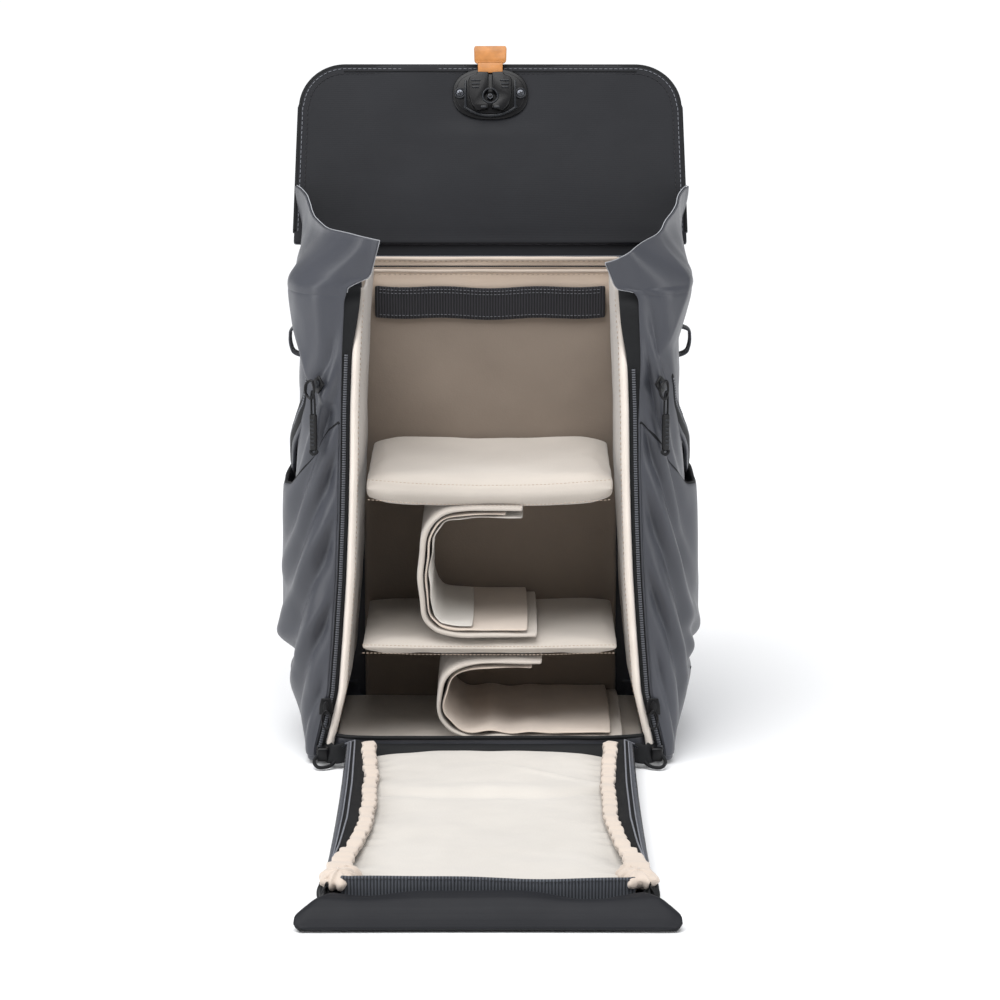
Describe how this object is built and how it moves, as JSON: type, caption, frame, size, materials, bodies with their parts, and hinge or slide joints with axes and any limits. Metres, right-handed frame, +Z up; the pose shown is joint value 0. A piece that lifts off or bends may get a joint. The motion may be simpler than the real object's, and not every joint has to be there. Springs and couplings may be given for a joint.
{
  "type": "drone backpack",
  "caption": "Padded carrying backpack for a folding drone, stood upright with its top flap raised and its zipped front panel laid open on the floor.",
  "frame": {"origin": "middle of the underside of the base panel, on the floor", "axes": "+Z up; -Y is the open front and +Y the side worn against the back; +X to the right seen from the front"},
  "size_m": [0.354, 0.67, 0.5803],
  "materials": {
    "shell_fabric": "smooth grey coated fabric",
    "flap_fabric": "dark grey coated fabric",
    "lining": "pale cream brushed lining over foam",
    "webbing": "dark woven webbing",
    "air_mesh": "dark spacer mesh over foam",
    "black_plastic": "satin black moulded plastic",
    "leather": "tan leather",
    "board": "stiffener sheet, sealed in",
    "steel": "dark plated steel"
  },
  "bodies": {
    "case": {"base_panel": "shell_fabric", "base_lining": "lining", "back_shell": "shell_fabric", "back_board": "board", "back_lining": "lining", "back_webbing": "webbing", "back_pad_left": "air_mesh", "back_pad_right": "air_mesh", "lumbar_pad": "air_mesh", "side_shell_left": "shell_fabric", "side_shell_right": "shell_fabric", "side_pad_left": "lining", "side_pad_right": "lining", "main_zip_left": "black_plastic", "main_zip_right": "black_plastic", "side_wing_left": "shell_fabric", "side_wing_right": "shell_fabric", "side_pocket_left": "shell_fabric", "side_pocket_right": "shell_fabric", "side_loop_left": "webbing", "side_loop_right": "webbing", "side_zip_left": "black_plastic", "side_zip_right": "black_plastic", "divider_upper": "lining", "divider_lower": "lining", "divider_goggles": "lining", "divider_controller": "lining", "top_handle": "webbing", "shoulder_strap_left": "air_mesh", "shoulder_strap_right": "air_mesh", "strap_webbing_left": "webbing", "strap_webbing_right": "webbing", "strap_buckle_left": "black_plastic", "strap_buckle_right": "black_plastic", "sternum_strap": "webbing", "sternum_buckle": "black_plastic"},
    "front_panel": {"panel_outer": "shell_fabric", "panel_lining": "lining", "panel_gusset_left": "flap_fabric", "panel_gusset_right": "flap_fabric", "panel_zip_left": "black_plastic", "panel_zip_right": "black_plastic", "panel_webbing": "webbing", "latch_receiver": "steel"},
    "tongue": {"front_tongue": "flap_fabric"},
    "top_flap": {"flap_outer": "shell_fabric", "flap_board": "board", "flap_inner": "flap_fabric", "latch_base": "black_plastic", "latch_screw_left": "steel", "latch_screw_right": "steel", "latch_stud": "steel"},
    "latch_release": {"latch_slider": "black_plastic", "leather_tab": "leather"},
    "zip_slider_left": {"main_slider_left": "black_plastic"},
    "zip_slider_right": {"main_slider_right": "black_plastic"},
    "side_zip_slider_left": {"side_slider_left": "black_plastic"},
    "side_zip_slider_right": {"side_slider_right": "black_plastic"},
    "side_zip_pull_left": {"side_pull_left": "black_plastic"},
    "side_zip_pull_right": {"side_pull_right": "black_plastic"}
  },
  "joints": [
    {"name": "front_panel_hinge", "type": "hinge", "parent": "case", "child": "front_panel", "pos_m": [0, -0.111, 0.03], "axis": [-1, 0, 0], "range_deg": [0, 90]},
    {"name": "tongue_fold", "type": "hinge", "parent": "front_panel", "child": "tongue", "pos_m": [0, -0.4825, 0.0235], "axis": [-1, 0, 0], "range_deg": [0, 20]},
    {"name": "top_flap_hinge", "type": "hinge", "parent": "case", "child": "top_flap", "pos_m": [0, 0.082, 0.41], "axis": [1, 0, 0], "range_deg": [-20, 114.6]},
    {"name": "latch_release_slide", "type": "slide", "parent": "top_flap", "child": "latch_release", "axis": [0, 0.4169, 0.909], "range_m": [0, 0.004], "stiffness_N_per_m": 400, "springref_m": -0.002},
    {"name": "front_zip_slide_left", "type": "slide", "parent": "case", "child": "zip_slider_left", "axis": [0.0442, 0, 0.999], "range_m": [0, 0.338]},
    {"name": "side_zip_slide_left", "type": "slide", "parent": "case", "child": "side_zip_slider_left", "axis": [-0.4345, 0.6598, -0.6131], "range_m": [0, 0.04]},
    {"name": "side_pull_swing_left", "type": "hinge", "parent": "side_zip_slider_left", "child": "side_zip_pull_left", "pos_m": [-0.14347, -0.10516, 0.32116], "axis": [-0.6, -0.8, 0], "range_deg": [-40, 6]},
    {"name": "front_zip_slide_right", "type": "slide", "parent": "case", "child": "zip_slider_right", "axis": [-0.0442, 0, 0.999], "range_m": [0, 0.338]},
    {"name": "side_zip_slide_right", "type": "slide", "parent": "case", "child": "side_zip_slider_right", "axis": [0.4345, 0.6598, -0.6131], "range_m": [0, 0.04]},
    {"name": "side_pull_swing_right", "type": "hinge", "parent": "side_zip_slider_right", "child": "side_zip_pull_right", "pos_m": [0.14347, -0.10516, 0.32116], "axis": [0.6, -0.8, 0], "range_deg": [-6, 40]}
  ]
}
